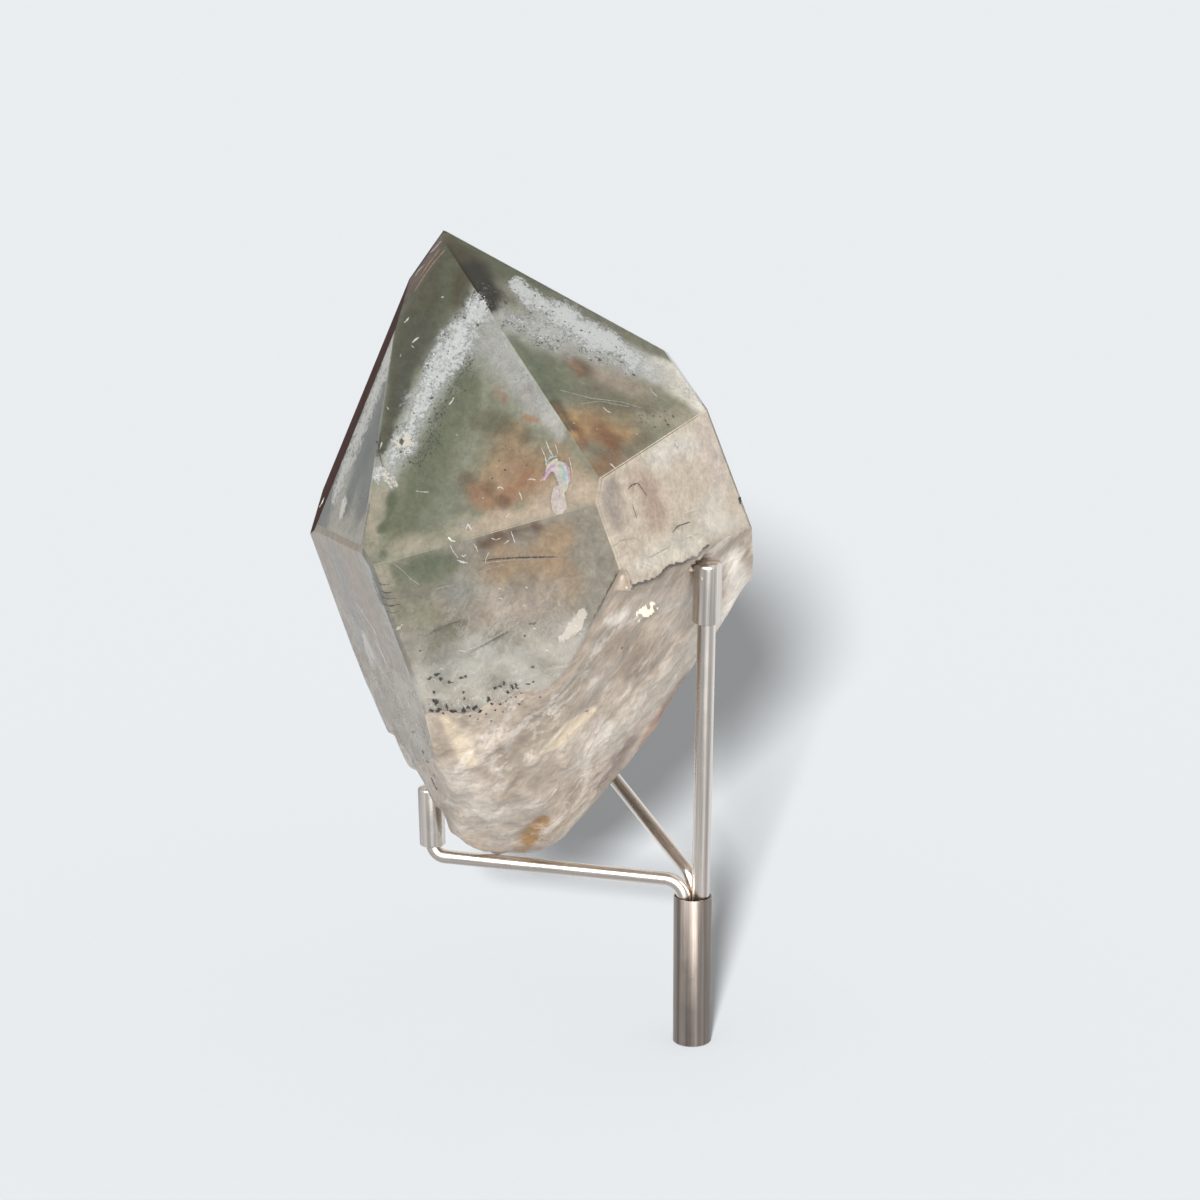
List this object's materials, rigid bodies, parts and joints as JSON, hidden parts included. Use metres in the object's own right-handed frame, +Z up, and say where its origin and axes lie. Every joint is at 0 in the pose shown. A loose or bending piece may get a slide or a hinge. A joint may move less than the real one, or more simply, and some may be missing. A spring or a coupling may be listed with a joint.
{
  "type": "quartz crystal point on a wire stand",
  "caption": "Large quartz point with green and brown inclusions and a broken root, leaning between the capped rods of a steel wire stand.",
  "frame": {"origin": "middle of the flat lower end of the stand's socket", "axes": "+Z up along the socket, -Y towards the side from which the crystal is seen, +X to the right"},
  "size_m": [0.095, 0.0806, 0.1764],
  "materials": {
    "quartz": "clear quartz with green, white and brown inclusions, milky and rough where broken",
    "socket_steel": "stainless tube with fine lengthwise brushing",
    "rod_steel": "satin stainless rod",
    "cap_steel": "satin stainless sleeve with rounded, polished ends"
  },
  "bodies": {
    "root": {"crystal": "quartz", "socket": "socket_steel", "post": "rod_steel", "front_arm": "rod_steel", "rear_arm": "rod_steel", "post_cap": "cap_steel", "front_cap": "cap_steel", "rear_cap": "cap_steel"}
  },
  "joints": []
}
